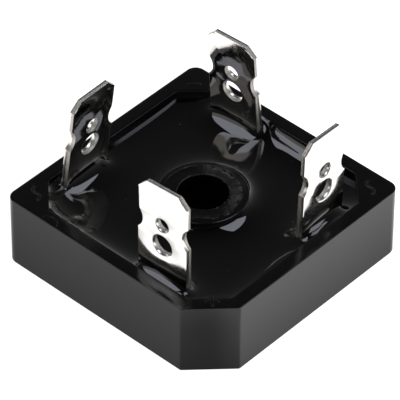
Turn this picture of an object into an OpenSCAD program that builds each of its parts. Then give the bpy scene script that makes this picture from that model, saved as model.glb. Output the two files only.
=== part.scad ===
// Bridge rectifier in a square moulded case, with four push-on blades and a centre screw hole.
// Millimetres, +Z up, origin on the screw hole's axis at the underside.
// The cut corner of the case (+X, -Y) marks the plus blade.

/* [Case] */
// Side of the square case
case_side = 28.5; // [27:0.1:30]
// Height of the case
case_h = 8.5; // [8:0.1:9.5]
// Radius of the three round corners
corner_r = 1.2; // [0.5:0.1:2]
// Leg of the corner that is cut off to mark plus
key_leg = 4.2; // [3:0.1:4.5]
// Width of the rim round the potting well
rim_w = 1.6; // [1.3:0.1:1.8]
// How far each corner of the well is cut off along its sides
land_leg = 3.1; // [2.6:0.1:3.3]

/* [Centre bush] */
// Screw hole
bore_d = 5.3; // [5:0.1:5.6]
// Outside of the bush
bush_d = 9.5; // [9:0.1:10]
// Flat ring on top of the bush, inside its bevel
bush_flat_d = 8.2; // [7.8:0.1:8.6]
// Drop of the bevel round the bush's top
bush_bevel = 0.15; // [0.1:0.05:0.3]
// Outside of the bush where it passes through the base plate
spigot_d = 7.8; // [7:0.1:8.4]
// Chamfer at both ends of the screw hole
bore_chamfer = 0.2; // [0.1:0.05:0.3]
// Thickness of the two webs that tie the bush to the walls
web_w = 1.2; // [0.8:0.1:1.6]
// Height of the webs
web_h = 2.0; // [1.5:0.1:2.2]
// Underside of the webs
web_z = 4.6; // [4.4:0.1:4.7]

/* [Base plate and insulation] */
// Thickness of the metal base plate
plate_t = 1.6; // [1.4:0.1:1.8]
// How far the plate reaches under the case walls
plate_ledge = 0.5; // [0.3:0.1:0.6]
// Adhesive between base plate and wafer
bond_t = 0.1; // [0.08:0.01:0.12]
// Thickness of the ceramic wafer
wafer_t = 0.64; // [0.5:0.02:0.7]
// Gap between wafer and well wall, and between wafer and bush
wafer_gap = 0.2; // [0.1:0.05:0.3]

/* [Conductors] */
// Thickness of plates and links
conductor_t = 0.5; // [0.4:0.05:0.55]
// Gap between the plus plate and the minus plate
plate_split = 2.0; // [1.6:0.1:2.4]
// Distance of the plates from the well wall
plate_margin = 0.6; // [0.5:0.1:0.7]
// Distance of the plates from the bush
bush_margin = 0.9; // [0.6:0.1:1.1]
// Width of the two links that join a pair of chips
link_w = 5.0; // [4.6:0.1:5]
// How far the links run on past the foot of the blade that stands farthest out
link_over = 0.35; // [0.2:0.05:0.6]

/* [Diode chips] */
// Side of a square chip
chip_side = 4.8; // [4.2:0.1:4.8]
// Thickness of a chip
chip_t = 0.3; // [0.25:0.01:0.35]
// Distance of the chips' middles from the well wall beside them
chip_in = 4.45; // [4.35:0.05:4.55]
// Distance of the chips from the split between the two plates
chip_edge = 1.0; // [0.8:0.1:1.1]
// Thickness of each solder joint
solder_t = 0.1; // [0.08:0.01:0.12]

/* [Blades] */
// Width of a blade
blade_w = 6.3; // [6.2:0.01:6.4]
// Thickness of a blade
blade_t = 0.8; // [0.76:0.01:0.84]
// Height of the tips above the knee where a blade leaves its stem
blade_rise = 12.5; // [12:0.1:13]
// Leg of the cut corners at the tip
tip_cut = 1.1; // [0.9:0.05:1.3]
// Height of the bevel at the tip
tip_bevel_h = 1.0; // [0.7:0.1:1.2]
// Width of the bevel along the edges
edge_bevel_w = 0.3; // [0.2:0.05:0.4]
// How deep the bevels cut into each face
bevel_depth = 0.15; // [0.08:0.01:0.2]
// Upper hole, for the dimple of a push-on receptacle
detent_d = 1.7; // [1.6:0.05:1.8]
// Height of the upper hole above the knee
detent_z = 7.85; // [7.7:0.05:8]
// Lower hole, for a wire
wire_hole_d = 2.5; // [2.3:0.05:2.6]
// Height of the lower hole above the knee
wire_hole_z = 5.25; // [5.1:0.05:5.3]
// Radius of the notches in the edges
notch_r = 1.8; // [1.6:0.05:2]
// Depth of the notches
notch_depth = 0.6; // [0.4:0.05:0.7]
// Height of the notches above the knee
notch_z = 7.5; // [7.3:0.05:7.7]
// Width of the foot
foot_w = 4.5; // [4:0.1:4.8]
// Length of the foot from the outer face of the stem
foot_reach = 3.2; // [3:0.1:3.4]
// Inside radius of the bend above the foot
bend_r = 0.4; // [0.3:0.05:0.5]

/* [Placing of the blades: plus, right AC, minus, left AC] */
// Distance of each blade's middle plane from the well wall that it stands along
blade_back = [1.25, 1.5, 1.4, 1.05]; // [1:0.05:1.55]
// Distance of each blade's middle from the well wall at its end
blade_side = [7.4, 7.45, 7.15, 7.05]; // [6.95:0.05:7.55]
// Turn of each blade about its own upright line
blade_turn = [2.7, 1, 2.4, 2.4]; // [0:0.1:3]
// Lean of each blade towards the centre
lean_in = [0.7, 0, 4.6, 6.5]; // [0:0.1:7]
// Lean of each blade along its own width
lean_along = [-0.6, 1.7, 0.4, -1.1]; // [-2:0.1:2]

/* [Potting] */
// Level of the cast resin in the middle of the well
pot_z = 7.05; // [6.9:0.05:7.2]
// How high the resin climbs at the well walls
wall_climb = 1.0; // [0.8:0.05:1.1]
// How far that climb reaches into the well
wall_reach = 1.9; // [1.5:0.1:2.2]
// How high the resin climbs at the blades
blade_climb = 1.1; // [0.9:0.05:1.2]
// How far that climb reaches from a blade
blade_reach = 1.6; // [1.2:0.1:1.8]
// How high the resin climbs at the bush
bush_climb = 0.9; // [0.7:0.05:1.1]
// How far that climb reaches from the bush
bush_reach = 1.4; // [1.1:0.1:1.6]
// Slope of the resin where a climb starts
foot_slope = 6; // [4:1:9]

/* [Hidden] */

$fn = 64;
eps = 0.01;
big = 40;

// Half widths of the case and of the well
half = case_side / 2;
well_half = half - rim_w;
// Levels of the stack, from the underside up
bond_z = plate_t;
wafer_z = bond_z + bond_t;
conductor_z = wafer_z + wafer_t;
lower_solder_z = conductor_z + conductor_t;
chip_z = lower_solder_z + solder_t;
upper_solder_z = chip_z + chip_t;
link_z = upper_solder_z + solder_t;
ac_foot_z = link_z + conductor_t + solder_t;
dc_foot_z = lower_solder_z + solder_t;
// Level of the knees, just under the resin's surface
knee_z = pot_z - 0.05;
// Blades reach this far below their knee, inside the resin
knee_lap = 0.6;
// Lower end of the wide part of a stem
stem_z = 5.4;
// How far a link laps over the outer edge of its chips
link_lap = 0.1;
// How far a climb's arc runs on above its height, into a blade that leans away
climb_lap = 0.08;
foot_z = [dc_foot_z, ac_foot_z, dc_foot_z, ac_foot_z];
bush_r = bush_d / 2;
// Places of the blades' middles from the centre, outwards and along the side of the case
blade_out = [for (back = blade_back) well_half - back];
blade_along = [for (side = blade_side) well_half - side];

// Places of the four chips
chip_x = well_half - chip_in;
chip_y = plate_split / 2 + chip_edge + chip_side / 2;
FRONT_RIGHT = [chip_x, -chip_y];
FRONT_LEFT = [-chip_x, -chip_y];
REAR_RIGHT = [chip_x, chip_y];
REAR_LEFT = [-chip_x, chip_y];

// ---- outlines ----

// Square with three round corners and one cut corner
module case_outline() {
    difference() {
        union() {
            square([case_side, case_side - 2 * corner_r], center = true);
            square([case_side - 2 * corner_r, case_side], center = true);
            for (sx = [-1, 1], sy = [-1, 1])
                translate([sx * (half - corner_r), sy * (half - corner_r)])
                    circle(corner_r);
        }
        polygon([[half - key_leg, -half], [half + 1, -half + key_leg + 1], [half + 1, -half - 1],
                 [half - key_leg - 1, -half - 1]]);
    }
}

// Eight-sided outline of the well, drawn in by an inset
module well_outline(inset = 0) {
    h = well_half - inset;
    c = h - land_leg + inset * (2 - sqrt(2));
    polygon([[h, -c], [h, c], [c, h], [-c, h], [-h, c], [-h, -c], [-c, -h], [c, -h]]);
}

// ---- case, base plate and insulation ----

module housing() {
    color([0.07, 0.07, 0.075])
    difference() {
        union() {
            difference() {
                linear_extrude(case_h) case_outline();
                translate([0, 0, -eps]) linear_extrude(case_h + 2 * eps) well_outline();
                translate([0, 0, -eps]) linear_extrude(plate_t + eps) well_outline(-plate_ledge);
            }
            bush();
            webs();
        }
        screw_hole();
    }
}

// Bush round the screw hole: spigot through the plate, shoulder on it, bevelled top
module bush() {
    rotate_extrude()
        polygon([[bore_d / 4, 0], [spigot_d / 2, 0], [spigot_d / 2, plate_t], [bush_r, plate_t],
                 [bush_r, case_h - bush_bevel], [bush_flat_d / 2, case_h], [bore_d / 4, case_h]]);
}

module webs() {
    difference() {
        translate([0, 0, web_z + web_h / 2])
            cube([2 * well_half + rim_w, web_w, web_h], center = true);
        translate([0, 0, web_z - 1]) cylinder(r = spigot_d / 2, h = web_h + 2);
    }
}

module screw_hole() {
    r = bore_d / 2;
    translate([0, 0, -1]) cylinder(r = r, h = case_h + 2);
    for (up = [0, 1])
        translate([0, 0, up * case_h]) mirror([0, 0, up])
            translate([0, 0, -eps]) cylinder(r1 = r + bore_chamfer + eps, r2 = r, h = bore_chamfer + eps);
}

module base_plate() {
    color([0.72, 0.73, 0.74])
    difference() {
        linear_extrude(plate_t) well_outline(-plate_ledge);
        translate([0, 0, -1]) cylinder(r = spigot_d / 2, h = plate_t + 2);
    }
}

// Outline shared by the wafer and the adhesive under it
module wafer_outline() {
    difference() {
        well_outline(wafer_gap);
        circle(bush_r + wafer_gap);
    }
}

module wafer_adhesive() {
    color([0.85, 0.85, 0.8])
    translate([0, 0, bond_z]) linear_extrude(bond_t) wafer_outline();
}

module ceramic_wafer() {
    color([0.93, 0.93, 0.9])
    translate([0, 0, wafer_z]) linear_extrude(wafer_t) wafer_outline();
}

// ---- conductors ----

// One plate on the wafer; side is -1 for plus (front) and 1 for minus (rear)
module conductor_plate(side) {
    color([0.78, 0.5, 0.32])
    translate([0, 0, conductor_z]) linear_extrude(conductor_t)
        difference() {
            intersection() {
                well_outline(plate_margin);
                translate([0, side * (big / 2 + plate_split / 2)]) square(big, center = true);
            }
            circle(bush_r + bush_margin);
        }
}

// Outline of the right link; the left one is the same, turned half round
module link_outline() {
    head = chip_y + chip_side / 2 + link_lap;
    tail = max(blade_along[1], blade_along[3]) + foot_w / 2 + link_over;
    translate([chip_x - link_w / 2, -head]) square([link_w, head + tail]);
}

module ac_link(turn) {
    color([0.78, 0.5, 0.32])
    translate([0, 0, link_z]) linear_extrude(conductor_t) rotate(turn) link_outline();
}

// ---- chips and solder ----

module chip_layer(place, z, t) {
    translate([place.x, place.y, z + t / 2]) cube([chip_side, chip_side, t], center = true);
}

module diode_chip(place) {
    color([0.35, 0.36, 0.4]) chip_layer(place, chip_z, chip_t);
}

module chip_solder_lower(place) {
    color([0.75, 0.75, 0.76]) chip_layer(place, lower_solder_z, solder_t);
}

module chip_solder_upper(place) {
    color([0.75, 0.75, 0.76]) chip_layer(place, upper_solder_z, solder_t);
}

// Flat of a foot, seen from above, in the blade's own frame
module foot_outline() {
    translate([-foot_w / 2, -blade_t / 2 + blade_t + bend_r])
        square([foot_w, foot_reach - blade_t - bend_r]);
}

// Solder under the foot of blade k, only where the foot lies on its conductor.
// The hollow for it in the resin laps into the foot and the conductor.
module foot_solder(k, lap = 0) {
    ac = k == 1 || k == 3;
    color([0.75, 0.75, 0.76])
    translate([0, 0, foot_z[k] - solder_t - lap]) linear_extrude(solder_t + 2 * lap)
        intersection() {
            place_outline(k) foot_outline();
            if (ac) rotate(k == 1 ? 0 : 180) link_outline();
            else square(2 * well_half, center = true);
        }
}

// ---- blades ----

// Places of blade k: x runs along its width, y points to the centre of the case
module place_outline(k) {
    rotate(90 * k) translate([blade_along[k], -blade_out[k]]) rotate(blade_turn[k]) children();
}

module place_blade(k) {
    rotate([0, 0, 90 * k]) translate([blade_along[k], -blade_out[k], 0])
        rotate([0, 0, blade_turn[k]]) children();
}

// Tilt of blade k about its knee
module lean_blade(k) {
    translate([0, 0, knee_z]) rotate([-lean_in[k], lean_along[k], 0]) children();
}

// Front outline of a blade above its knee, with tip corners, notches and holes
module blade_outline() {
    w = blade_w / 2;
    difference() {
        polygon([[-w, -knee_lap], [w, -knee_lap], [w, blade_rise - tip_cut], [w - tip_cut, blade_rise],
                 [-w + tip_cut, blade_rise], [-w, blade_rise - tip_cut]]);
        for (side = [-1, 1])
            translate([side * (w + notch_r - notch_depth), notch_z]) circle(notch_r);
        translate([0, detent_z]) circle(detent_d / 2);
        translate([0, wire_hole_z]) circle(wire_hole_d / 2);
    }
}

// Wedge that bevels one face along an edge. The edge runs along x with the metal below it.
module bevel_wedge(width, length) {
    drop = bevel_depth * (width + 1) / width;
    rotate([0, 90, 0]) linear_extrude(length, center = true)
        polygon([[width, blade_t / 2], [-1, blade_t / 2 - drop], [-1, blade_t / 2 + 1],
                 [width, blade_t / 2 + 1]]);
}

// All bevel wedges of one face: tip, cut corners, and edges down to the notches
module face_bevels() {
    w = blade_w / 2;
    edge_len = blade_rise - notch_z;
    translate([0, 0, blade_rise]) bevel_wedge(tip_bevel_h, blade_w);
    for (side = [-1, 1]) {
        translate([side * (w - tip_cut / 2), 0, blade_rise - tip_cut / 2])
            rotate([0, side * 45, 0]) bevel_wedge(edge_bevel_w, 4 * tip_cut);
        translate([side * w, 0, notch_z + edge_len / 2])
            rotate([0, side * 90, 0]) bevel_wedge(edge_bevel_w, edge_len);
    }
}

module blade_plate() {
    difference() {
        rotate([90, 0, 0]) linear_extrude(blade_t, center = true) blade_outline();
        face_bevels();
        mirror([0, 1, 0]) face_bevels();
    }
}

// Side view of foot, bend and stem: x points inwards, y is up from the foot's underside
module stem_profile(height) {
    out = bend_r + blade_t;
    difference() {
        union() {
            translate([0, out]) square([blade_t, height - out]);
            translate([out, 0]) square([foot_reach - out, blade_t]);
            intersection() {
                translate([out, out]) circle(out);
                square(out);
            }
        }
        translate([out, out]) circle(bend_r);
    }
}

// Foot and stem of blade k, up to just below the resin's surface
module stem(k) {
    top = knee_z - 0.1;
    translate([0, -blade_t / 2, foot_z[k]])
        rotate([90, 0, 90]) linear_extrude(foot_w, center = true) stem_profile(top - foot_z[k]);
    translate([-blade_w / 2, -blade_t / 2, stem_z]) cube([blade_w, blade_t, top - stem_z]);
}

module blade(k) {
    color([0.8, 0.79, 0.76])
    place_blade(k) {
        stem(k);
        lean_blade(k) blade_plate();
    }
}

// ---- potting ----

// Cross-section of a climb: reaches its height at x = 0 and thins out to the flat at x = reach.
// The arc runs on a little past both ends, into what it climbs and under the flat.
module climb_profile(climb, reach) {
    half_turn = atan2(climb, reach) - foot_slope;
    r = norm([climb, reach]) / (2 * sin(half_turn));
    foot_x = reach + r * sin(foot_slope);
    difference() {
        translate([-0.5, -1]) square([0.5 + foot_x, 1 + climb + climb_lap]);
        translate([foot_x, r * cos(foot_slope)]) circle(r, $fn = 160);
    }
}

// Climb along a straight wall that runs along y, at x = 0
module straight_climb(climb, reach, length) {
    rotate([90, 0, 0]) linear_extrude(length, center = true) climb_profile(climb, reach);
}

// Climb round the eight walls of the well
module wall_climbs() {
    diagonal = (2 * well_half - land_leg) / sqrt(2);
    for (k = [0 : 3]) {
        rotate([0, 0, 90 * k]) translate([-well_half, 0, 0])
            straight_climb(wall_climb, wall_reach, 2 * well_half);
        rotate([0, 0, 90 * k + 45]) translate([-diagonal, 0, 0])
            straight_climb(wall_climb, wall_reach, 3 * land_leg);
    }
}

// Climb round a blade: a straight stretch along each face and a half turn round each end
module blade_climbs() {
    straight = blade_w - blade_t;
    for (turn = [0, 180]) rotate([0, 0, turn]) {
        translate([0, blade_t / 2, 0]) rotate([0, 0, 90])
            straight_climb(blade_climb, blade_reach, straight);
        translate([straight / 2, 0, 0]) rotate([0, 0, -90]) rotate_extrude(angle = 180)
            intersection() {
                translate([blade_t / 2, 0]) climb_profile(blade_climb, blade_reach);
                translate([0, -1]) square(big);
            }
    }
}

module resin_surface() {
    translate([0, 0, pot_z]) {
        wall_climbs();
        rotate_extrude()
            translate([bush_r, 0]) climb_profile(bush_climb, bush_reach);
        for (k = [0 : 3]) place_blade(k) blade_climbs();
    }
}

module potting() {
    color([0.02, 0.02, 0.022])
    difference() {
        intersection() {
            translate([0, 0, plate_t]) linear_extrude(case_h) well_outline();
            union() {
                linear_extrude(pot_z) square(big, center = true);
                resin_surface();
            }
        }
        cylinder(r = bush_r, h = big);
        webs();
        translate([0, 0, bond_z]) linear_extrude(bond_t + wafer_t) wafer_outline();
        conductor_plate(-1);
        conductor_plate(1);
        ac_link(0);
        ac_link(180);
        for (place = [FRONT_RIGHT, FRONT_LEFT, REAR_RIGHT, REAR_LEFT])
            chip_layer(place, lower_solder_z - eps, 2 * solder_t + chip_t + 2 * eps);
        for (k = [0 : 3]) {
            foot_solder(k, eps);
            blade(k);
        }
    }
}

housing();
base_plate();
wafer_adhesive();
ceramic_wafer();
conductor_plate(-1);  // plus_plate
conductor_plate(1);  // minus_plate
ac_link(0);  // right_ac_link
ac_link(180);  // left_ac_link
diode_chip(FRONT_RIGHT);  // diode_chip_front_right
diode_chip(FRONT_LEFT);  // diode_chip_front_left
diode_chip(REAR_RIGHT);  // diode_chip_rear_right
diode_chip(REAR_LEFT);  // diode_chip_rear_left
chip_solder_lower(FRONT_RIGHT);  // chip_solder_lower_front_right
chip_solder_lower(FRONT_LEFT);  // chip_solder_lower_front_left
chip_solder_lower(REAR_RIGHT);  // chip_solder_lower_rear_right
chip_solder_lower(REAR_LEFT);  // chip_solder_lower_rear_left
chip_solder_upper(FRONT_RIGHT);  // chip_solder_upper_front_right
chip_solder_upper(FRONT_LEFT);  // chip_solder_upper_front_left
chip_solder_upper(REAR_RIGHT);  // chip_solder_upper_rear_right
chip_solder_upper(REAR_LEFT);  // chip_solder_upper_rear_left
foot_solder(0);  // plus_foot_solder
foot_solder(1);  // right_ac_foot_solder
foot_solder(2);  // minus_foot_solder
foot_solder(3);  // left_ac_foot_solder
blade(0);  // plus_blade
blade(1);  // right_ac_blade
blade(2);  // minus_blade
blade(3);  // left_ac_blade
potting();
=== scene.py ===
"""Looks of a potted bridge rectifier: moulded case, cast resin, nickel-plated blades and base plate.

Lengths in this script are millimetres and become metres when a mesh is made. The frame is the CAD's:
+Z up, origin on the screw hole's axis at the underside, cut corner towards +X and -Y.
"""
import math

import bmesh
import bpy
import numpy as np
from mathutils import Matrix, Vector
from mathutils.geometry import delaunay_2d_cdt


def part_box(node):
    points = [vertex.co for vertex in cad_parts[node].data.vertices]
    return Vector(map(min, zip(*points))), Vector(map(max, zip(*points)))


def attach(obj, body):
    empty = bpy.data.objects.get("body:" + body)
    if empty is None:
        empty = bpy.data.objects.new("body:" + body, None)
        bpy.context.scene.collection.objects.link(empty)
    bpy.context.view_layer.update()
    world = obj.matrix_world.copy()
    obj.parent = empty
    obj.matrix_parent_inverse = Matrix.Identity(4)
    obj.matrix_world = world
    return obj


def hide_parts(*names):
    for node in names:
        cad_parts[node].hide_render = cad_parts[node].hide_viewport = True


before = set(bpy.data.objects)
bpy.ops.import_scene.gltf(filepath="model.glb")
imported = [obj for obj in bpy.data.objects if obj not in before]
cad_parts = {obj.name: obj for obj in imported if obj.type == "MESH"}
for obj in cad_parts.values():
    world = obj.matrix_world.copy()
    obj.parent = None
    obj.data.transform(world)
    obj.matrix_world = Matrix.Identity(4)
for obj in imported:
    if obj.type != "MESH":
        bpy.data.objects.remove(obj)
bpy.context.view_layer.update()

MM = 0.001

# ---- sizes of the part, as in its CAD ----

HOUSE_LOW, HOUSE_HIGH = [np.array(v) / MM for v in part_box("housing")]
HALF = (HOUSE_HIGH[0] - HOUSE_LOW[0]) / 2
CASE_H = HOUSE_HIGH[2]
CORNER_R = 1.2
KEY_LEG = 4.2
WELL_HALF = HALF - 1.6
LAND_LEG = 3.1
PLATE_T = 1.6
PLATE_LEDGE = 0.5
BORE_R = 2.65
BUSH_R = 4.75
SPIGOT_R = 3.9
POT_Z = 7.05
KNEE_Z = 7.0

BLADE_HALF_W = 3.15
BLADE_HALF_T = 0.4
BLADE_RISE = 12.5
TIP_CUT = 1.1
NOTCH_R, NOTCH_DEPTH, NOTCH_Z = 1.8, 0.6, 7.5
HOLES = ((7.85, 0.85), (5.25, 1.25))
BEVEL_DEPTH, TIP_BEVEL, EDGE_BEVEL = 0.15, 1.0, 0.3
FOOT_HALF_W, FOOT_REACH, BEND_R = 2.25, 3.2, 0.4
FOOT_Z = (2.94, 3.94, 2.94, 3.94)

# Blades in turn: plus, right AC, minus, left AC
BLADES = ("plus_blade", "right_ac_blade", "minus_blade", "left_ac_blade")
BLADE_OUT = (11.4, 11.15, 11.25, 11.6)
BLADE_ALONG = (5.25, 5.2, 5.5, 5.6)
BLADE_TURN = (2.7, 1.0, 2.4, 2.4)
LEAN_IN = (0.7, 0.0, 4.6, 6.5)
LEAN_ALONG = (-0.6, 1.7, 0.4, -1.1)

TAU = 2 * math.pi


# ---- meshes from arrays ----

def grid_quads(rows, cols, wrap_rows=False, wrap_cols=False):
    """Quads of a grid of points stored row by row; a wrapped direction joins its last line to its first."""
    r = np.arange(rows if wrap_rows else rows - 1)
    c = np.arange(cols if wrap_cols else cols - 1)
    r, c = [a.ravel() for a in np.meshgrid(r, c, indexing="ij")]
    r1, c1 = (r + 1) % rows, (c + 1) % cols
    return np.stack([r * cols + c, r * cols + c1, r1 * cols + c1, r1 * cols + c], 1)


def make_mesh(name, points, faces, smooth=True, indices=None):
    """A mesh from an array of points in mm and a list of arrays of faces, each with its own corner count.
    smooth is one flag for the whole mesh or one for each array of faces."""
    mesh = bpy.data.meshes.new(name)
    counts = np.concatenate([np.full(len(f), f.shape[1]) for f in faces])
    corners = np.concatenate([f.ravel() for f in faces])
    mesh.vertices.add(len(points))
    mesh.vertices.foreach_set("co", (np.asarray(points, float) * MM).ravel())
    mesh.loops.add(len(corners))
    mesh.loops.foreach_set("vertex_index", corners.astype(np.int32))
    mesh.polygons.add(len(counts))
    starts = np.concatenate([[0], np.cumsum(counts)[:-1]])
    mesh.polygons.foreach_set("loop_start", starts.astype(np.int32))
    flags = [smooth] * len(faces) if isinstance(smooth, bool) else smooth
    mesh.polygons.foreach_set("use_smooth", np.concatenate([np.full(len(f), flag) for f, flag in zip(faces, flags)]))
    if indices is not None:
        mesh.polygons.foreach_set("material_index", np.concatenate(indices).astype(np.int32))
    mesh.update(calc_edges=True)
    mesh.validate()
    return mesh


def add_piece(name, mesh, materials, replaced=()):
    """An object at the origin that rides on the one body and stands for the CAD nodes it replaces."""
    piece = bpy.data.objects.new(name, mesh)
    bpy.context.scene.collection.objects.link(piece)
    for material in materials:
        mesh.materials.append(material)
    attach(piece, "root")
    if replaced:
        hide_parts(*replaced)
    return piece


def weld(mesh, distance=0.0005):
    """Joins points closer than distance (mm) and makes all faces point outwards."""
    bm = bmesh.new()
    bm.from_mesh(mesh)
    bmesh.ops.remove_doubles(bm, verts=bm.verts, dist=distance * MM)
    bmesh.ops.dissolve_degenerate(bm, edges=bm.edges, dist=distance * MM * 0.1)
    bmesh.ops.recalc_face_normals(bm, faces=bm.faces)
    bm.to_mesh(mesh)
    bm.free()
    return mesh


def crisp(piece, angle):
    """Keeps edges sharper than angle (degrees) crisp and lets the large faces lead the shading."""
    piece.data.set_sharp_from_angle(angle=math.radians(angle))
    modifier = piece.modifiers.new("face_led_shading", "WEIGHTED_NORMAL")
    modifier.mode = "FACE_AREA"
    modifier.weight = 80
    modifier.keep_sharp = True


def turn_x(deg):
    c, s = math.cos(math.radians(deg)), math.sin(math.radians(deg))
    return np.array([[1, 0, 0], [0, c, -s], [0, s, c]])


def turn_y(deg):
    c, s = math.cos(math.radians(deg)), math.sin(math.radians(deg))
    return np.array([[c, 0, s], [0, 1, 0], [-s, 0, c]])


def turn_z(deg):
    c, s = math.cos(math.radians(deg)), math.sin(math.radians(deg))
    return np.array([[c, -s, 0], [s, c, 0], [0, 0, 1]])


def upright_to_part(k, p):
    """Blade k's upright frame (x along its width, y inwards, z up) to the part's frame."""
    p = p @ turn_z(BLADE_TURN[k]).T + [BLADE_ALONG[k], -BLADE_OUT[k], 0]
    return p @ turn_z(90 * k).T


def blade_to_part(k, p):
    """Blade k's leaning frame, with z counted from its knee, to the part's frame."""
    p = p @ turn_x(-LEAN_IN[k]).T @ turn_y(LEAN_ALONG[k]).T + [0, 0, KNEE_Z]
    return upright_to_part(k, p)


def part_to_blade(k, p):
    """The part's frame to blade k's leaning frame."""
    p = p @ turn_z(90 * k) - [BLADE_ALONG[k], -BLADE_OUT[k], 0]
    p = p @ turn_z(BLADE_TURN[k]) - [0, 0, KNEE_Z]
    return p @ turn_y(LEAN_ALONG[k]) @ turn_x(-LEAN_IN[k])


def ripple(t, seed, waves=((3, 1.0), (7, 0.7), (13, 0.5), (29, 0.3))):
    """A sum of sines round a full turn t, from -1 to 1 or so, with phases drawn from the seed."""
    phases = np.random.default_rng(seed).uniform(0, TAU, len(waves))
    return sum(a * np.sin(n * t + p) for (n, a), p in zip(waves, phases)) / 1.6


# ---- case ----

def soft_min(a, b, width):
    """The smaller of a and b, rounded over where they are within width of each other."""
    h = np.clip(0.5 + 0.5 * (b - a) / width, 0, 1)
    return b + (a - b) * h - width * h * (1 - h)


def case_reach(phi, inset=0.0):
    """Distance from the axis to the case's side at angle phi: h over the larger of |cos| and |sin| on the
    straight sides, the far crossing with the corner circle elsewhere, and the slanted cut at one corner."""
    h, r = HALF - inset, max(CORNER_R - inset, 0.05)
    a, b = np.abs(np.cos(phi)), np.abs(np.sin(phi))
    large, small = np.maximum(a, b), np.minimum(a, b)
    c = h - r
    along = c * (large + small)
    corner = along + np.sqrt(np.maximum(along ** 2 - 2 * c * c + r * r, 0))
    reach = np.where(h / large * small > c, corner, h / large)
    facing = (np.cos(phi) - np.sin(phi)) / math.sqrt(2)
    cut = ((2 * HALF - KEY_LEG) / math.sqrt(2) - inset) / np.maximum(facing, 0.05)
    return soft_min(reach, cut, 0.1)


def well_reach(phi, inset=0.0):
    """Distance from the axis to the eight-sided well's wall at angle phi: the nearest of its walls."""
    a, b = np.abs(np.cos(phi)), np.abs(np.sin(phi))
    wall = (WELL_HALF - inset) / np.maximum(a, b)
    diagonal = ((2 * WELL_HALF - LAND_LEG) / math.sqrt(2) - inset) * math.sqrt(2) / (a + b)
    return soft_min(wall, diagonal, 0.12)


def ring_angles(count):
    """Even angles round the axis, with the corners of the case and of the well added."""
    c = WELL_HALF - LAND_LEG
    corners = [(WELL_HALF, c), (c, WELL_HALF), (HALF, HALF - CORNER_R), (HALF - CORNER_R, HALF)]
    base = [math.atan2(y, x) for x, y in corners]
    extra = [b + q * math.pi / 2 for b in base for q in range(4)]
    extra += [math.atan2(-HALF, HALF - KEY_LEG), math.atan2(KEY_LEG - HALF, HALF)]
    phi = np.concatenate([np.arange(count) * TAU / count, np.array(extra) % TAU])
    phi = np.sort(phi)
    return phi[np.concatenate([[True], np.diff(phi) > 1e-4])]


def quarter(inset_a, z_a, inset_b, z_b, steps=5):
    """Insets and heights of a quarter turn from a vertical start at a to a level end at b."""
    t = np.linspace(0, math.pi / 2, steps)
    return [(inset_a + (inset_b - inset_a) * (1 - math.cos(x)), z_a + (z_b - z_a) * math.sin(x)) for x in t]


def case_mesh():
    """The case's wall: rings carried from its foot up the outside, over the rim and down the well's wall.
    Each ring is the case's or the well's outline at its own inset and height."""
    phi = ring_angles(760)
    top = CASE_H
    rings = [("case", 0.12, 0.0), ("case", 0.04, 0.03), ("case", 0.0, 0.12)]
    rings += [("case", i, z) for i, z in quarter(0.0, top - 0.09, 0.09, top)]
    rings += [("case", 0.5, top)]
    rings += [("well", -0.5, top)]
    rings += [("well", -i, z) for i, z in quarter(0.0, top - 0.06, 0.06, top)[::-1]]
    rings += [("well", 0.0, POT_Z), ("well", 0.0, PLATE_T), ("well", -PLATE_LEDGE, PLATE_T),
              ("well", -PLATE_LEDGE, 0.0)]
    reach = {"case": case_reach, "well": well_reach}
    rows = []
    for kind, inset, z in rings:
        rho = reach[kind](phi, inset)
        rows.append(np.stack([rho * np.cos(phi), rho * np.sin(phi), np.full(len(phi), z)], 1))
    quads = grid_quads(len(rows), len(phi), wrap_rows=True, wrap_cols=True)
    return np.concatenate(rows), quads


def bush_mesh(steps=240):
    """The bush: a closed profile of radius and height turned round the axis. The two rims of the hole and
    of the bevel waver a little, as flash left by the mould does."""
    top = CASE_H
    profile = [(BORE_R, 0.25), (BORE_R, 4.0), (BORE_R, top - 0.12), (BORE_R + 0.02, top - 0.05),
               (BORE_R + 0.07, top + 0.0), (BORE_R + 0.14, top - 0.015), (BORE_R + 0.3, top - 0.03),
               (3.5, top - 0.03), (3.98, top - 0.03), (4.04, top - 0.015), (4.1, top - 0.02), (4.16, top - 0.05),
               (4.22, top - 0.06), (4.62, top - 0.08), (BUSH_R - 0.06, top - 0.09), (BUSH_R - 0.01, top - 0.14),
               (BUSH_R, top - 0.3), (BUSH_R, POT_Z), (BUSH_R, PLATE_T), (SPIGOT_R, PLATE_T),
               (SPIGOT_R, 0.0), (BORE_R + 0.25, 0.0)]
    r, z = [np.array(v)[:, None] for v in zip(*profile)]
    phi = (np.arange(steps) * TAU / steps)[None, :]
    many = ((5, 1.0), (11, 0.8), (23, 0.8), (41, 0.6), (67, 0.5))
    rim = np.exp(-((r - BORE_R - 0.07) / 0.06) ** 2) * (z > top - 0.3)
    ring = np.exp(-((r - 4.07) / 0.07) ** 2) * (z > top - 0.3)
    z = z + rim * 0.02 * (ripple(phi, 3, many) - 0.6) + ring * 0.015 * (ripple(phi, 4, many) - 0.6)
    r = r + rim * 0.035 * ripple(phi, 5, many) + ring * 0.03 * ripple(phi, 6, many)
    z = np.broadcast_to(z, r.shape)
    points = np.stack([r * np.cos(phi), r * np.sin(phi), z], 2).reshape(-1, 3)
    return points, grid_quads(len(profile), steps, wrap_rows=True, wrap_cols=True)


def block_mesh(low, high):
    """A plain box between two corners, for the webs inside the resin."""
    low, high = np.array(low, float), np.array(high, float)
    t = np.array([[x, y, z] for x in (0, 1) for y in (0, 1) for z in (0, 1)])
    quads = np.array([[0, 1, 3, 2], [4, 6, 7, 5], [0, 4, 5, 1], [2, 3, 7, 6], [0, 2, 6, 4], [1, 5, 7, 3]])
    return low + t * (high - low), quads


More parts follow.
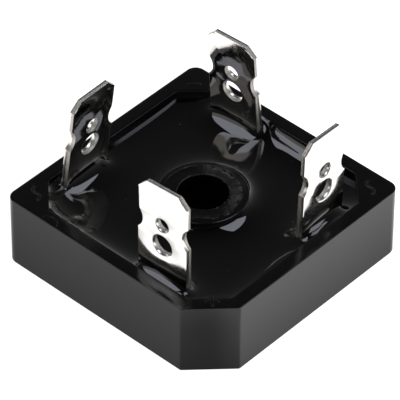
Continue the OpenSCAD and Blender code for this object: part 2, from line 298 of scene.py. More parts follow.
def join(parts):
    """Several (points, faces) pairs as one."""
    points, faces, start = [], [], 0
    for p, f in parts:
        points.append(p)
        faces.append(f + start)
        start += len(p)
    return np.concatenate(points), faces


# ---- cast resin ----

# Slope in degrees at which the resin meets each blade: on the side towards the middle, on the outer side
# and at the two ends
BLADE_WET_IN = (40, 40, 50, 50)
BLADE_WET_OUT = (42, 38, 15, 20)
BLADE_WET_ENDS = ((10, 34), (20, 12), (50, 40), (6, 12))
# and the bush, in front on the left and behind on the right
BUSH_WET = (20, 42)
# and the walls, from the one at +X round by +Y, the stretch of wall beside each blade, and the lands
WALL_WET = (20, 48, 12, 36)
BESIDE_WET = (-12, 8, 24, 4)
LAND_WET = (8, 14, 42, 20)
CAPILLARY = 1.55
RIGHT_BEHIND = (0.3, 0.95)


def outside_well(x, y):
    """How far a point lies outside the well's walls; negative inside."""
    a, b = np.abs(x), np.abs(y)
    return np.maximum(np.maximum(a, b) - WELL_HALF,
                      (a + b) / math.sqrt(2) - (2 * WELL_HALF - LAND_LEG) / math.sqrt(2))


def around(x, y):
    """Distance of each place from the nearest body that rises out of the resin, negative inside the body,
    and the slope in radians at which the resin meets that body."""
    far = -outside_well(x, y)
    turn = np.arctan2(y, x) / (math.pi / 2) % 4
    stops, slopes = [], []
    for n in range(4):
        last = 0.74 if n == 0 else 0.56
        stops += [n, n + 0.40, n + 0.44, n + last, n + last + 0.04]
        slopes += [WALL_WET[n], WALL_WET[n], LAND_WET[n], LAND_WET[n], WALL_WET[(n + 1) % 4]]
    wet = np.interp(turn, stops + [4], slopes + [WALL_WET[0]])
    frames = []
    for k in range(4):
        p = part_to_blade(k, np.stack([x.ravel(), y.ravel(), np.full(x.size, POT_Z + 1.0)], 1))
        frames.append((p[:, 0].reshape(x.shape), p[:, 1].reshape(x.shape)))
        u, v = frames[k]
        wet = wet + (BESIDE_WET[k] - wet) * np.exp(-(u / 3.8) ** 6) * (v < 0)

    def meet(distance, slope):
        nonlocal far, wet
        wet = np.where(distance < far, slope, wet)
        far = np.minimum(far, distance)

    behind = 0.5 + 0.5 * (x * RIGHT_BEHIND[0] + y * RIGHT_BEHIND[1]) / np.maximum(np.hypot(x, y), 1)
    meet(np.hypot(x, y) - BUSH_R, BUSH_WET[0] + (BUSH_WET[1] - BUSH_WET[0]) * behind ** 2)
    for k, (u, v) in enumerate(frames):
        a, b = np.abs(u) - BLADE_HALF_W, np.abs(v) - BLADE_HALF_T
        distance = np.hypot(np.maximum(a, 0), np.maximum(b, 0)) + np.minimum(np.maximum(a, b), 0)
        side = np.clip(0.5 + v / (2 * BLADE_HALF_T), 0, 1)
        faces = BLADE_WET_OUT[k] + (BLADE_WET_IN[k] - BLADE_WET_OUT[k]) * side
        ends = np.where(u < 0, *BLADE_WET_ENDS[k])
        meet(distance, faces + (ends - faces) * np.clip((a - b) / 0.3 + 0.5, 0, 1))
    return far, np.radians(wet)


def resin_field():
    """Rise of the resin over its level on an even grid, from the equation of a meniscus: the divergence of
    slope / sqrt(1 + slope^2) equals the rise over the square of the capillary length. The flow through
    each side of a cell is taken by the share of that side in the open, and at a body it is the sine of the
    slope there. The equation is relaxed on a coarse grid first and then on finer ones. Inside the bodies
    the surface is carried on at the slope that it meets them with."""
    extent, field, old = 13.4, None, None
    inner = (slice(1, -1), slice(1, -1))
    for step, rounds in ((0.4, 400), (0.2, 300), (0.1, 300), (0.05, 240)):
        axis = np.arange(-extent, extent + step / 2, step)
        x, y = np.meshgrid(axis, axis, indexing="ij")
        far, wet = around(x, y)
        open_share = lambda d: np.clip(0.5 + d / step, 0, 1)
        over_x, over_y = open_share((far[1:] + far[:-1]) / 2), open_share((far[:, 1:] + far[:, :-1]) / 2)
        sides = over_x[1:, 1:-1], over_x[:-1, 1:-1], over_y[1:-1, 1:], over_y[1:-1, :-1]
        flow = np.sin(wet[inner]) * np.hypot(sides[0] - sides[1], sides[2] - sides[3])
        weight = (step / CAPILLARY) ** 2 * open_share(far[inner])
        wetted = sum(sides) > 0
        field = np.zeros(x.shape) if field is None else sample(field, old, x, y)
        for n in range(rounds):
            if n % 10 == 0:
                slopes = np.gradient(field, step)
                ease = 1 / np.sqrt(1 + slopes[0] ** 2 + slopes[1] ** 2)
                ease_x, ease_y = (ease[1:] + ease[:-1]) / 2, (ease[:, 1:] + ease[:, :-1]) / 2
                pull = (sides[0] * ease_x[1:, 1:-1], sides[1] * ease_x[:-1, 1:-1],
                        sides[2] * ease_y[1:-1, 1:], sides[3] * ease_y[1:-1, :-1])
                total = np.where(wetted, sum(pull) + weight, 1)
            near = (pull[0] * field[2:, 1:-1] + pull[1] * field[:-2, 1:-1]
                    + pull[2] * field[1:-1, 2:] + pull[3] * field[1:-1, :-2])
            field[inner] = np.where(wetted, (near + step * flow) / total, field[inner])
            if n % 10 == 9:
                field = carry_on(field, far, wet, step)
        old = axis
    return field, old


def carry_on(field, far, wet, step):
    """The field with its values inside the bodies replaced: the height of the contact line, spread from
    cell to cell, plus the tangent of the slope times the depth inside the body."""
    known = far > 0.25 * step
    line = np.where(known, field + far * np.tan(wet), 0.0)
    share = known.astype(float)
    for _ in range(int(0.5 / step) + 1):
        total, count = line * share, share.copy()
        for shift, axis in ((1, 0), (-1, 0), (1, 1), (-1, 1)):
            total += np.roll(line * share, shift, axis)
            count += np.roll(share, shift, axis)
        fresh = (share == 0) & (count > 0)
        line[fresh] = total[fresh] / count[fresh]
        share[fresh] = 1
    return np.where(known, field, line - far * np.tan(wet))


def sample(field, axis, x, y):
    """The field at points between its grid lines, by weighting the four nearest values."""
    step = axis[1] - axis[0]
    fx = np.clip((x - axis[0]) / step, 0, len(axis) - 1.001)
    fy = np.clip((y - axis[0]) / step, 0, len(axis) - 1.001)
    i, j = fx.astype(int), fy.astype(int)
    a, b = fx - i, fy - j
    return (field[i, j] * (1 - a) * (1 - b) + field[i + 1, j] * a * (1 - b)
            + field[i, j + 1] * (1 - a) * b + field[i + 1, j + 1] * a * b)


# Blisters on the resin: place, radius and height
BLISTERS = ((-7.1, -10.9, 0.55, 0.16), (8.9, -7.6, 0.12, 0.03), (3.2, -9.0, 0.1, 0.03),
            (-9.2, -6.4, 0.1, 0.03), (6.9, -9.6, 0.12, 0.04))


def resin_mesh():
    """The cast resin: a sheet from the bush's wall to the well's wall, both a little way inside them, with
    its height from the meniscus, closed by two walls and a floor."""
    phi = ring_angles(600)
    t = np.linspace(0, 1, 128)
    t = 0.55 * t + 0.45 * (0.5 - 0.5 * np.cos(math.pi * t))
    inner = np.full(len(phi), BUSH_R - 0.06)
    outer = well_reach(phi, -0.06)
    rho = inner[None, :] + (outer - inner)[None, :] * t[:, None]
    x, y = rho * np.cos(phi), rho * np.sin(phi)
    field, axis = resin_field()
    z = POT_Z + sample(field, axis, x, y)
    for bx, by, r, h in BLISTERS:
        z = z + h * np.exp(-((x - bx) ** 2 + (y - by) ** 2) / r ** 2)
    rows = [np.stack([x, y, z], 2)]
    floor = np.full(len(phi), PLATE_T + 0.02)
    rows.append(np.stack([x[-1], y[-1], floor], 1)[None])
    rows.append(np.stack([x[0], y[0], floor], 1)[None])
    points = np.concatenate(rows)
    quads = grid_quads(points.shape[0], points.shape[1], wrap_rows=True, wrap_cols=True)
    return points.reshape(-1, 3), quads


# ---- blades ----

def blade_outline(step=0.12):
    """Closed outline of a blade in its own plane, counter-clockwise from its lower left corner: straight
    sides, a shallow round notch in each side, and a tip with cut corners."""
    w, low, high = BLADE_HALF_W, -0.6, BLADE_RISE
    reach = math.acos((NOTCH_R - NOTCH_DEPTH) / NOTCH_R)
    centre = w + NOTCH_R - NOTCH_DEPTH
    t = np.linspace(-reach, reach, 25)
    notch = np.stack([centre - NOTCH_R * np.cos(t), NOTCH_Z + NOTCH_R * np.sin(t)], 1)
    right = np.concatenate([[[w, low]], notch, [[w, high - TIP_CUT], [w - TIP_CUT, high]]])
    left = right[::-1] * [-1, 1]
    corners = np.concatenate([right, left])
    points = []
    for a, b in zip(corners, np.roll(corners, -1, axis=0)):
        count = max(1, int(round(np.hypot(*(b - a)) / step)))
        points.append(a + (b - a) * (np.arange(count) / count)[:, None])
    return np.concatenate(points)


def inward(loop):
    """Mitred inward step of each point of a counter-clockwise loop."""
    ahead = np.roll(loop, -1, axis=0) - loop
    ahead /= np.linalg.norm(ahead, axis=1)[:, None]
    behind = np.roll(ahead, 1, axis=0)
    left = lambda v: np.stack([-v[:, 1], v[:, 0]], 1)
    mean = left(ahead) + left(behind)
    mean /= np.linalg.norm(mean, axis=1)[:, None]
    return mean / np.maximum((mean * left(ahead)).sum(1), 0.5)[:, None]


def face_depth(x, z):
    """Half thickness of a blade at a place on its face: full, less the bevels at the tip, at the cut
    corners and along the edges above the notches."""
    w = BLADE_HALF_W
    tip = BEVEL_DEPTH * (1 - (BLADE_RISE - z) / TIP_BEVEL)
    edge = BEVEL_DEPTH * (1 - (w - np.abs(x)) / EDGE_BEVEL) * (z > NOTCH_Z)
    corner_gap = (w + BLADE_RISE - TIP_CUT - np.abs(x) - z) / math.sqrt(2)
    corner = BEVEL_DEPTH * (1 - corner_gap / EDGE_BEVEL)
    return BLADE_HALF_T - np.clip(np.maximum(np.maximum(tip, edge), corner), 0, BEVEL_DEPTH)


# Cross-section of a punched edge, from the front face to the back: inset and depth across the thickness
ROLLED = ((0.11, -1.0), (0.05, -0.965), (0.015, -0.9), (0.0, -0.78))
SHEARED = ((0.0, -0.78), (0.0, -0.35), (0.0, 0.0))
TORN = ((0.0, 0.0), (0.02, 0.08), (0.03, 0.5), (0.02, 0.86), (0.03, 0.96), (0.07, 1.0))


def edge_strip(loop, sign, section, hole=False):
    """A strip round a loop: each point of the section is the loop moved inwards by its inset (outwards into
    the metal for a hole) at its share of the local half thickness. sign turns front and back round."""
    step = inward(loop) * (-1 if hole else 1)
    rows = []
    for inset, depth in section:
        p = loop + step * inset
        y = sign * depth * face_depth(p[:, 0], p[:, 1])
        rows.append(np.stack([p[:, 0], y, p[:, 1]], 1))
    return np.concatenate(rows), grid_quads(len(rows), len(loop), wrap_cols=True)


def face_sheet(loops, sign):
    """One flat face of a blade: the region between its outline and its holes, cut also along the feet of
    the bevels, and lifted to the local half thickness."""
    w = BLADE_HALF_W
    top, side = BLADE_RISE - TIP_BEVEL, w - EDGE_BEVEL
    lines = [[(-side, top), (side, top)], [(side, NOTCH_Z + 0.9), (side, top)], [(-side, NOTCH_Z + 0.9), (-side, top)]]
    points, edges = [], []
    for loop in loops:
        start = len(points)
        points += [tuple(p) for p in loop]
        edges += [(start + i, start + (i + 1) % len(loop)) for i in range(len(loop))]
    for a, b in lines:
        start = len(points)
        points += [a, b]
        edges.append((start, start + 1))
    out, _, tris, *_ = delaunay_2d_cdt(points, edges, [], 0, 1e-6)
    out = np.array([tuple(p) for p in out])
    tris = np.array([t for t in tris if len(t) == 3])
    centre = out[tris].mean(1)
    keep = inside_loop(centre, loops[0])
    for loop in loops[1:]:
        keep &= ~inside_loop(centre, loop)
    y = sign * face_depth(out[:, 0], out[:, 1])
    return np.stack([out[:, 0], y, out[:, 1]], 1), tris[keep]


def inside_loop(p, loop):
    """Which points lie inside a closed loop, by counting the edges that a ray to the right crosses."""
    a, b = loop[None, :, :], np.roll(loop, -1, axis=0)[None, :, :]
    px, py = p[:, None, 0], p[:, None, 1]
    spans = (a[..., 1] > py) != (b[..., 1] > py)
    rise = np.where(b[..., 1] == a[..., 1], 1.0, b[..., 1] - a[..., 1])
    cross = a[..., 0] + (py - a[..., 1]) / rise * (b[..., 0] - a[..., 0])
    return (np.sum(spans & (px < cross), axis=1) % 2) == 1


def foot_mesh(k):
    """Stem and foot of a blade inside the resin: a flat strip's section carried down the stem, round a
    quarter bend and out along the foot."""
    t, r = 2 * BLADE_HALF_T, BEND_R + BLADE_HALF_T
    low = FOOT_Z[k] + BLADE_HALF_T
    bend = np.linspace(0, math.pi / 2, 9)
    path = [(0.0, KNEE_Z - 0.3)] + [(r - r * math.cos(a), low + r - r * math.sin(a)) for a in bend]
    path.append((FOOT_REACH - BLADE_HALF_T, low))
    path = np.array(path)
    ahead = np.gradient(path, axis=0)
    ahead /= np.linalg.norm(ahead, axis=1)[:, None]
    across = np.stack([-ahead[:, 1], ahead[:, 0]], 1)
    section = np.array([(-1, -1), (1, -1), (1, 1), (-1, 1)])
    rows = []
    for p, a in zip(path, across):
        y, z = p[0] + section[:, 1] * t / 2 * a[0], p[1] + section[:, 1] * t / 2 * a[1]
        rows.append(np.stack([section[:, 0] * FOOT_HALF_W, y, z], 1))
    points = np.concatenate(rows)
    last = len(points) - 4
    ends = np.array([[3, 2, 1, 0], [last, last + 1, last + 2, last + 3]])
    return points, [grid_quads(len(path), 4, wrap_cols=True), ends]


def blade_piece(k, metals):
    """One blade: two bevelled faces, a punched edge round its outline and round each hole, and its foot."""
    outline = blade_outline()
    t = np.arange(56) * TAU / 56
    holes = [np.stack([r * np.cos(t), z + r * np.sin(t)], 1) for z, r in HOLES]
    # the rolled edge is on the side that faced the punch: outwards on every blade
    sign = 1
    points, faces, indices, smooth, start = [], [], [], [], 0

    def put(p, parts, index, soft):
        nonlocal start
        for f in parts:
            faces.append(f + start)
            indices.append(np.full(len(f), index))
            smooth.append(soft)
        points.append(p)
        start += len(p)

    for loop, hole in [(outline, False)] + [(h, True) for h in holes]:
        for section, index in ((ROLLED, 0), (SHEARED, 1), (TORN, 2)):
            p, quads = edge_strip(loop, sign, section, hole)
            put(blade_to_part(k, p), [quads], index, True)
    for face, inset in ((-1, ROLLED[0][0]), (1, TORN[-1][0])):
        loops = [outline + inward(outline) * inset] + [h - inward(h) * inset for h in holes]
        p, tris = face_sheet(loops, face * sign)
        put(blade_to_part(k, p), [tris], 0, False)
    foot, foot_faces = foot_mesh(k)
    put(upright_to_part(k, foot), foot_faces, 0, True)
    mesh = weld(make_mesh(BLADES[k] + "_strip", np.concatenate(points), faces, smooth, indices))
    mesh.set_sharp_from_angle(angle=math.radians(35))
    return add_piece(BLADES[k] + "_strip", mesh, metals, (BLADES[k],))


# ---- polarity marks and mould marks on the rim ----

def ridge_mesh(path, width, height, foot_z):
    """A raised ridge along an open path: a low arch carried along it, tapering to nothing at both ends and
    closed underneath, a little way inside the rim."""
    path = np.array(path, float)
    s = np.concatenate([[0], np.cumsum(np.linalg.norm(np.diff(path, axis=0), axis=1))])
    even = np.linspace(0, s[-1], 40)
    line = np.stack([np.interp(even, s, path[:, 0]), np.interp(even, s, path[:, 1])], 1)
    for _ in range(12):
        line[1:-1] = 0.5 * line[1:-1] + 0.25 * (line[2:] + line[:-2])
    ahead = np.gradient(line, axis=0)
    ahead /= np.linalg.norm(ahead, axis=1)[:, None]
    side = np.stack([-ahead[:, 1], ahead[:, 0]], 1)
    from_end = np.minimum(even, s[-1] - even)
    full = np.sqrt(np.clip(1 - (1 - np.clip(from_end / (width / 2), 0, 1)) ** 2, 0.002, 1))
    u = np.linspace(-1, 1, 9)
    x = line[:, None, 0] + side[:, None, 0] * u * full[:, None] * width / 2
    y = line[:, None, 1] + side[:, None, 1] * u * full[:, None] * width / 2
    arch = np.sqrt(np.clip(1 - u ** 4, 0, 1))
    z = foot_z + (height * arch[None, :] * np.clip(full[:, None] * 1.3, 0, 1))
    top = np.stack([x, y, z], 2)
    below = np.stack([x[:, ::-1], y[:, ::-1], np.full(x.shape, foot_z - 0.15)], 2)
    rows = np.concatenate([top, below], 1)
    points = rows.reshape(-1, 3)
    count = rows.shape[1]
    ends = np.array([np.arange(count)[::-1], (len(line) - 1) * count + np.arange(count)])
    return points, [grid_quads(len(line), count, wrap_cols=True), ends]


def wave_path(centre):
    """The sign for alternating current: one wave along the direction of +X and -Y."""
    t = np.linspace(-1, 1, 30)
    along = np.array([1, -1]) / math.sqrt(2)
    across = np.array([1, 1]) / math.sqrt(2)
    return np.array(centre) + t[:, None] * 1.12 * along + 0.42 * np.sin(t * math.pi)[:, None] * across


def mark_pieces(material):
    """Signs on the four corners of the rim, and the arc that a gate left on the front edge."""
    across = np.array([1, 1]) / math.sqrt(2)
    along = np.array([1, -1]) / math.sqrt(2)
    top = CASE_H - 0.02
    marks = {
        "wave_sign_right": [wave_path((12.0, 12.1))],
        "wave_sign_left": [wave_path((-12.25, -11.75))],
        "minus_sign": [[np.array([-12.1, 11.7]) + s * 0.8 * across for s in np.linspace(-1, 1, 12)]],
        "plus_sign": [[np.array([11.6, -11.3]) + s * 0.75 * d for s in np.linspace(-1, 1, 12)]
                      for d in (across, along)],
    }
    t = np.linspace(math.radians(20), math.radians(160), 24)
    marks["gate_arc"] = [np.stack([-8.3 + 1.1 * np.cos(t), -14.3 + 1.1 * np.sin(t)], 1)]
    for name, paths in marks.items():
        width, height = (0.16, 0.05) if name == "gate_arc" else (0.32, 0.1)
        points, faces, start = [], [], 0
        for path in paths:
            p, fs = ridge_mesh(path, width, height, top)
            points.append(p)
            faces += [f + start for f in fs]
            start += len(p)
        mesh = weld(make_mesh(name, np.concatenate(points), faces))
        piece = add_piece(name, mesh, [material])
        crisp(piece, 50)


# ---- shader nodes ----

def put_node(tree, kind, settings=None, **inputs):
    """A node with its settings, and its inputs by name: a value is set, an output is linked."""
    node = tree.nodes.new(kind)
    for key, value in (settings or {}).items():
        setattr(node, key, value)
    for key, value in inputs.items():
        socket = node.inputs[int(key[1:])] if key[0] == "i" and key[1:].isdigit() else node.inputs[key.replace("_", " ")]
        if isinstance(value, bpy.types.NodeSocket):
            tree.links.new(value, socket)
        else:
            socket.default_value = value
    return node


def math_node(tree, operation, *values, clamp=False):
    """A Math node's output."""
    inputs = {f"i{n}": v for n, v in enumerate(values)}
    return put_node(tree, "ShaderNodeMath", {"operation": operation, "use_clamp": clamp}, **inputs).outputs[0]


def new_group(name, inputs, outputs):
    """A shader node group with float inputs and their defaults, and named outputs."""
    group = bpy.data.node_groups.new(name, "ShaderNodeTree")
    for key, value in inputs.items():
        socket = group.interface.new_socket(key, in_out="INPUT", socket_type="NodeSocketFloat")
        socket.default_value = value
    for key, kind in outputs.items():
        group.interface.new_socket(key, in_out="OUTPUT", socket_type=kind)
    source = group.nodes.new("NodeGroupInput")
    sink = group.nodes.new("NodeGroupOutput")
    return group, source, sink


def place_mm(tree, stretch=(1, 1, 1)):
    """Object coordinates in millimetres, stretched along the axes."""
    coords = put_node(tree, "ShaderNodeTexCoord").outputs["Object"]
    scale = tuple(1000 * s for s in stretch)
    return put_node(tree, "ShaderNodeMapping", Vector=coords, Scale=scale).outputs[0]


def noise(tree, vector, scale, detail=2.0, roughness=0.5):
    return put_node(tree, "ShaderNodeTexNoise", Vector=vector, Scale=scale, Detail=detail,
                    Roughness=roughness).outputs[0]


def band(tree, value, low, high, to_low=0.0, to_high=1.0):
    """The value mapped from low..high to to_low..to_high, clamped."""
    node = put_node(tree, "ShaderNodeMapRange", {"clamp": True}, i0=value, i1=low, i2=high, i3=to_low, i4=to_high)
    return node.outputs[0]


def specks_group():
    """Grit: small round specks scattered over a surface, of a given spacing, with a given share kept."""
    group, source, sink = new_group("specks", {"Per mm": 2.0, "Size": 0.2, "Share": 0.3}, {"Mask": "NodeSocketFloat"})
    place = place_mm(group)
    cells = put_node(group, "ShaderNodeTexVoronoi", Vector=place, Scale=source.outputs["Per mm"])
    size = math_node(group, "MULTIPLY", source.outputs["Size"], noise(group, place, 3.1))
    near = math_node(group, "LESS_THAN", cells.outputs["Distance"], size)
    tone = put_node(group, "ShaderNodeSeparateColor", i0=cells.outputs["Color"]).outputs[0]
    kept = math_node(group, "LESS_THAN", tone, source.outputs["Share"])
    group.links.new(math_node(group, "MULTIPLY", near, kept), sink.inputs["Mask"])
    return group


def grain_group():
    """Fine moulded or rolled grain, as a height from 0 to 1."""
    group, source, sink = new_group("grain", {"Per mm": 8.0, "Soft": 0.5}, {"Height": "NodeSocketFloat"})
    place = place_mm(group)
    fine = noise(group, place, source.outputs["Per mm"], 3.0, 0.6)
    broad = noise(group, place, 1.1, 2.0)
    mixed = put_node(group, "ShaderNodeMix", {"data_type": "FLOAT"}, i0=source.outputs["Soft"], i2=fine, i3=broad)
    group.links.new(mixed.outputs[0], sink.inputs["Height"])
    return group


def use_group(tree, group, **inputs):
    node = put_node(tree, "ShaderNodeGroup", {"node_tree": group})
    for key, value in inputs.items():
        node.inputs[key.replace("_", " ")].default_value = value
    return node.outputs[0]


def new_material(name, base, roughness, metallic=0.0, **sockets):
    """A material with its shader, constants on the shader's own sockets."""
    material = bpy.data.materials.new(name)
    material.use_nodes = True
    tree = material.node_tree
    shader = tree.nodes["Principled BSDF"]
    shader.inputs["Base Color"].default_value = (*base, 1)
    shader.inputs["Roughness"].default_value = roughness
    shader.inputs["Metallic"].default_value = metallic
    for key, value in sockets.items():
        shader.inputs[key.replace("_", " ")].default_value = value
    material.diffuse_color = (*base, 1)
    return material, tree, shader


def tone_mix(tree, mask, low, high):
    """One of two colours by a mask."""
    mix = put_node(tree, "ShaderNodeMix", {"data_type": "RGBA"}, i0=mask, i6=(*low, 1), i7=(*high, 1))
    return mix.outputs[2]


def bump(tree, height, distance_mm, strength=1.0, normal=None):
    extra = {} if normal is None else {"Normal": normal}
    return put_node(tree, "ShaderNodeBump", Height=height, Distance=distance_mm * MM, Strength=strength,
                    **extra).outputs[0]


def black_moulding(specks, grain):
    """Black moulded polyester: near black, glossy, fine grain, pale dust specks and faint rubs."""
    material, tree, shader = new_material("black_moulding", (0.0022, 0.0022, 0.0024), 0.18, IOR=1.42)
    dust = use_group(tree, specks, Per_mm=1.1, Size=0.13, Share=0.3)
    cloud = noise(tree, place_mm(tree), 0.55, 4.0, 0.6)
    tone = tone_mix(tree, band(tree, cloud, 0.35, 0.7), (0.0016, 0.0016, 0.0017), (0.0032, 0.0031, 0.0032))
    mix = put_node(tree, "ShaderNodeMix", {"data_type": "RGBA"}, i0=dust, i6=tone, i7=(0.02, 0.019, 0.018, 1))
    tree.links.new(mix.outputs[2], shader.inputs["Base Color"])
    rubs = noise(tree, place_mm(tree, (0.5, 0.5, 2.6)), 1.3, 5.0, 0.65)
    tree.links.new(band(tree, rubs, 0.3, 0.75, 0.13, 0.2), shader.inputs["Roughness"])
    height = use_group(tree, grain, Per_mm=7.0, Soft=0.3)
    tree.links.new(bump(tree, height, 0.008), shader.inputs["Normal"])
    return material


def black_resin(specks):
    """Cast epoxy: deep black and glossy, with a slow swell and a few dust grains on it."""
    material, tree, shader = new_material("black_resin", (0.0018, 0.0018, 0.0022), 0.03, IOR=1.55)
    place = place_mm(tree)
    dust = use_group(tree, specks, Per_mm=0.8, Size=0.1, Share=0.2)
    mix = put_node(tree, "ShaderNodeMix", {"data_type": "RGBA"}, i0=dust, i6=(0.0018, 0.0018, 0.0022, 1),
                   i7=(0.06, 0.055, 0.05, 1))
    tree.links.new(mix.outputs[2], shader.inputs["Base Color"])
    film = noise(tree, place, 0.5, 3.0)
    tree.links.new(band(tree, film, 0.3, 0.8, 0.02, 0.05), shader.inputs["Roughness"])
    swell = noise(tree, place, 0.35, 1.0)
    tree.links.new(bump(tree, swell, 0.01), shader.inputs["Normal"])
    return material


def nickel(grain):
    """Nickel plate on rolled strip: satin metal, slightly warm, with fine rolling lines and dull clouds."""
    material, tree, shader = new_material("nickel_rolled", (0.72, 0.70, 0.67), 0.1, 1.0)
    cloud = noise(tree, place_mm(tree), 0.9, 4.0, 0.6)
    tone = tone_mix(tree, band(tree, cloud, 0.3, 0.75), (0.82, 0.80, 0.775), (0.76, 0.74, 0.71))
    tree.links.new(tone, shader.inputs["Base Color"])
    tree.links.new(band(tree, cloud, 0.3, 0.75, 0.07, 0.14), shader.inputs["Roughness"])
    height = use_group(tree, grain, Per_mm=6.0, Soft=0.4)
    tree.links.new(bump(tree, height, 0.004), shader.inputs["Normal"])
    return material


def nickel_sheared():
    """The smooth band that a punch leaves on an edge."""
    material, tree, shader = new_material("nickel_sheared", (0.72, 0.70, 0.66), 0.24, 1.0)
    lines = noise(tree, place_mm(tree, (1, 1, 1)), 9.0, 2.0)
    tree.links.new(bump(tree, lines, 0.006), shader.inputs["Normal"])
    return material


def nickel_torn():
    """The rough, duller band where the strip broke off behind the punch."""
    material, tree, shader = new_material("nickel_torn", (0.5, 0.48, 0.45), 0.45, 1.0)
    lines = noise(tree, place_mm(tree), 14.0, 4.0, 0.7)
    tree.links.new(tone_mix(tree, band(tree, lines, 0.35, 0.65), (0.28, 0.26, 0.23), (0.7, 0.68, 0.64)),
                   shader.inputs["Base Color"])
    tree.links.new(bump(tree, lines, 0.03), shader.inputs["Normal"])
    return material


def plain_metal(name, base, roughness, stretch):
    """Rolled sheet metal with fine lines along one direction."""
    material, tree, shader = new_material(name, base, roughness, 1.0)
    lines = noise(tree, place_mm(tree, stretch), 5.0, 4.0, 0.6)
    darker = tuple(0.8 * c for c in base)
    tree.links.new(tone_mix(tree, band(tree, lines, 0.3, 0.7), base, darker), shader.inputs["Base Color"])
    tree.links.new(bump(tree, lines, 0.01), shader.inputs["Normal"])
    return material


def plain_solid(name, base, roughness):
    """A fine-grained body such as ceramic, silicone or silicon, slightly uneven in tone."""
    material, tree, shader = new_material(name, base, roughness)
    cloud = noise(tree, place_mm(tree), 2.0, 4.0, 0.6)
    darker = tuple(0.85 * c for c in base)
    tree.links.new(tone_mix(tree, band(tree, cloud, 0.3, 0.7), base, darker), shader.inputs["Base Color"])
    tree.links.new(bump(tree, cloud, 0.01), shader.inputs["Normal"])
    return material


# ---- building the object ----

specks, grain = specks_group(), grain_group()
MOULDING = black_moulding(specks, grain)
RESIN = black_resin(specks)
METALS = [nickel(grain), nickel_sheared(), nickel_torn()]

case_points, case_faces = join([case_mesh(), bush_mesh(),
                                block_mesh((-WELL_HALF - 0.5, -0.6, 4.6), (-SPIGOT_R, 0.6, 6.6)),
                                block_mesh((SPIGOT_R, -0.6, 4.6), (WELL_HALF + 0.5, 0.6, 6.6))])
case = add_piece("moulded_case", weld(make_mesh("moulded_case", case_points, case_faces), 0.0001),
                 [MOULDING], ("housing",))
crisp(case, 40)

resin_points, resin_faces = resin_mesh()
resin = add_piece("cast_resin", weld(make_mesh("cast_resin", resin_points, [resin_faces]), 0.0001),
                  [RESIN], ("potting",))
resin.data.set_sharp_from_angle(angle=math.radians(60))

for k in range(4):
    blade_piece(k, METALS)
mark_pieces(MOULDING)

INNER = {
    "base_plate": plain_metal("base_aluminium", (0.72, 0.73, 0.74), 0.32, (0.1, 3, 1)),
    "_plate": plain_metal("copper_strip", (0.85, 0.5, 0.33), 0.3, (0.2, 2, 1)),
    "solder": plain_metal("soft_solder", (0.7, 0.7, 0.7), 0.4, (1, 1, 1)),
    "adhesive": plain_solid("silicone_adhesive", (0.8, 0.8, 0.74), 0.5),
    "wafer": plain_solid("alumina", (0.88, 0.88, 0.84), 0.55),
    "chip": plain_solid("silicon_chip", (0.12, 0.12, 0.15), 0.25),
}
INNER["_link"] = INNER["_plate"]
for name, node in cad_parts.items():
    key = next((k for k in ("base_plate", "adhesive", "solder", "wafer", "chip", "_link", "_plate") if k in name), None)
    if key:
        node.data.materials.clear()
        node.data.materials.append(INNER[key])

# ---- floor, light and camera ----

def stage_mesh(name, size_m, material):
    """A square of floor at the level of the part's underside."""
    s = size_m / MM / 2
    points = np.array([[-s, -s, -0.01], [s, -s, -0.01], [s, s, -0.01], [-s, s, -0.01]])
    mesh = make_mesh(name, points, [np.array([[0, 1, 2, 3]])], smooth=False)
    floor = bpy.data.objects.new(name, mesh)
    bpy.context.scene.collection.objects.link(floor)
    mesh.materials.append(material)
    return floor


def floor_with_painted_shade():
    """White floor that glows, evenly white when seen straight on. Seen by way of the part, its glow is painted shade
    and painted light. The painted shadow is dark under the case, dim beside it and brighter with distance. The painted
    light is most on the right, less on the left and least in front of the cut corner."""
    material, tree, shader = new_material("floor_with_painted_shade", (0.05, 0.05, 0.05), 0.9, Specular_IOR_Level=0.0,
                                          Emission_Strength=1.0)
    place = put_node(tree, "ShaderNodeSeparateXYZ", Vector=place_mm(tree))
    x, y = place.outputs[0], place.outputs[1]
    across = math_node(tree, "MULTIPLY", math_node(tree, "ADD", x, y), math.sqrt(0.5))
    ahead = math_node(tree, "MULTIPLY", math_node(tree, "SUBTRACT", x, y), math.sqrt(0.5))
    beside = math_node(tree, "MAXIMUM", math_node(tree, "ABSOLUTE", x), math_node(tree, "ABSOLUTE", y))
    cut = (2 * HALF - KEY_LEG) / math.sqrt(2)
    away = math_node(tree, "MAXIMUM", math_node(tree, "SUBTRACT", beside, HALF), math_node(tree, "SUBTRACT", ahead, cut))
    # painted light: the glow seen in reflections is made stronger on the right of the case than on the left
    right = band(tree, across, 0.5, 4.5)
    left = band(tree, across, -4.5, -0.5, 1.0, 0.0)
    near = math_node(tree, "ADD", 0.47, math_node(tree, "ADD", math_node(tree, "MULTIPLY", right, 0.35),
                                                 math_node(tree, "MULTIPLY", left, 0.09)))
    slope = math_node(tree, "ADD", 0.018, math_node(tree, "ADD", math_node(tree, "MULTIPLY", right, 0.099),
                                                   math_node(tree, "MULTIPLY", left, 0.032)))
    beyond = math_node(tree, "MAXIMUM", math_node(tree, "SUBTRACT", away, 6.5), 0.0)
    # painted shadow: the glow rises with distance from the case from a dim level beside it, and it is cut to nothing
    # under the case
    glow = math_node(tree, "ADD", near, math_node(tree, "MULTIPLY", slope, away))
    glow = math_node(tree, "ADD", glow, math_node(tree, "MULTIPLY", beyond, 0.12))
    glow = math_node(tree, "MULTIPLY", math_node(tree, "MINIMUM", glow, 1.5), band(tree, away, -0.4, 0.0))
    path = put_node(tree, "ShaderNodeLightPath")
    seen = math_node(tree, "MAXIMUM", glow, math_node(tree, "MULTIPLY", path.outputs["Is Camera Ray"], 1.1))
    tone = put_node(tree, "ShaderNodeCombineColor", i0=seen, i1=seen, i2=seen)
    tree.links.new(tone.outputs[0], shader.inputs["Emission Color"])
    return material


stage_mesh("floor", 6.0, floor_with_painted_shade())


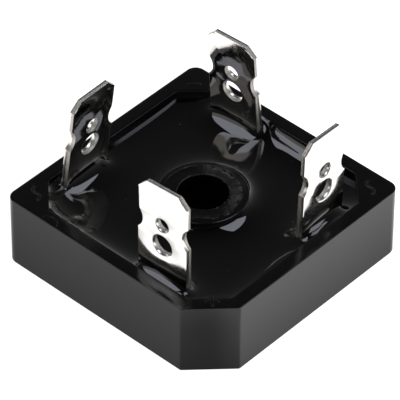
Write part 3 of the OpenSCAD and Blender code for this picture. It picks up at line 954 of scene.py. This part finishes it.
def soft_light(name, place_m, aim_m, size_m, radiance, colour, across):
    """A flat rectangular light that faces its aim, with its brightness given as radiance."""
    data = bpy.data.lights.new(name, "AREA")
    data.shape = "RECTANGLE"
    data.size, data.size_y = size_m
    data.energy = radiance * math.pi * size_m[0] * size_m[1]
    data.color = colour
    light = bpy.data.objects.new(name, data)
    back = np.array(place_m, float) - np.array(aim_m, float)
    back /= np.linalg.norm(back)
    side = np.array(across, float)
    side -= back * (side @ back)
    side /= np.linalg.norm(side)
    up = np.cross(back, side)
    frame3 = Matrix(np.stack([side, up, back], 1).tolist()).to_4x4()
    frame3.translation = place_m
    light.matrix_world = frame3
    bpy.context.scene.collection.objects.link(light)
    return light


AZIMUTH, ELEVATION, ROLL = [math.radians(a) for a in (42.303, 42.214, 0.459)]
BACK = np.array([math.sin(AZIMUTH) * math.cos(ELEVATION), -math.cos(AZIMUTH) * math.cos(ELEVATION),
                 math.sin(ELEVATION)])
SIDE = np.array([math.cos(AZIMUTH), math.sin(AZIMUTH), 0])
AHEAD = np.array([-math.sin(AZIMUTH), math.cos(AZIMUTH), 0])

# Two large cool soft boxes overhead, side by side with a gap between them, and a dimmer warm card beside
# the left one. Their edges to the left, right, near and far are given for each unit of height.
BOX_H = 0.7
for name, left, right, near, far, radiance, colour in (
        ("left_soft_box", -0.81, -0.2, -0.15, 0.45, 3.4, (0.86, 0.89, 1.0)),
        ("right_soft_box", 0.2, 0.68, -0.15, 0.45, 3.4, (0.86, 0.89, 1.0)),
        ("left_card", -1.2, -0.82, -0.3, 0.45, 1.3, (1.0, 0.94, 0.89))):
    centre = (AHEAD * (near + far) / 2 + SIDE * (left + right) / 2 + np.array([0, 0, 1])) * BOX_H
    soft_light(name, centre, centre - np.array([0, 0, 1]), ((right - left) * BOX_H, (far - near) * BOX_H),
               radiance, colour, SIDE)

# The room: a bright horizon that fades fast, a faint glow above it that fades slowly, and light from the right
world = bpy.data.worlds.new("studio")
bpy.context.scene.world = world
world.use_nodes = True
sky = world.node_tree
direction = put_node(sky, "ShaderNodeTexCoord").outputs["Generated"]
height = put_node(sky, "ShaderNodeSeparateXYZ", Vector=direction).outputs[2]
rise = math_node(sky, "ARCSINE", math_node(sky, "MAXIMUM", height, 0.0))
to_right = put_node(sky, "ShaderNodeVectorMath", {"operation": "DOT_PRODUCT"}, i0=direction, i1=tuple(SIDE)).outputs[1]
glow = 0.0
for part, fall in ((1.3, 6), (0.3, 35), (band(sky, to_right, 0.2, 0.8, 0.0, 0.9), 16)):
    fade = math_node(sky, "EXPONENT", math_node(sky, "DIVIDE", rise, -math.radians(fall)))
    glow = math_node(sky, "ADD", glow, math_node(sky, "MULTIPLY", part, fade))
backdrop = put_node(sky, "ShaderNodeLightPath").outputs["Is Camera Ray"]
sky.links.new(math_node(sky, "MAXIMUM", glow, math_node(sky, "MULTIPLY", backdrop, 1.2)),
              sky.nodes["Background"].inputs["Strength"])
sky.nodes["Background"].inputs["Color"].default_value = (1, 1, 1, 1)

camera_data = bpy.data.cameras.new("camera")
camera_data.sensor_width = 36
camera_data.lens = 36 * 3812.9 / 400
camera_data.clip_start, camera_data.clip_end = 0.01, 20
camera = bpy.data.objects.new("camera", camera_data)
bpy.context.scene.collection.objects.link(camera)
view_up = np.cross(BACK, SIDE)
right = SIDE * math.cos(ROLL) + view_up * math.sin(ROLL)
upward = -SIDE * math.sin(ROLL) + view_up * math.cos(ROLL)
pose = Matrix(np.stack([right, upward, BACK], 1).tolist()).to_4x4()
pose.translation = (np.array([-2.519, 2.306, 4.27]) + BACK * 393.48) * MM
camera.matrix_world = pose
bpy.context.scene.camera = camera
bpy.context.scene.view_settings.view_transform = "Standard"
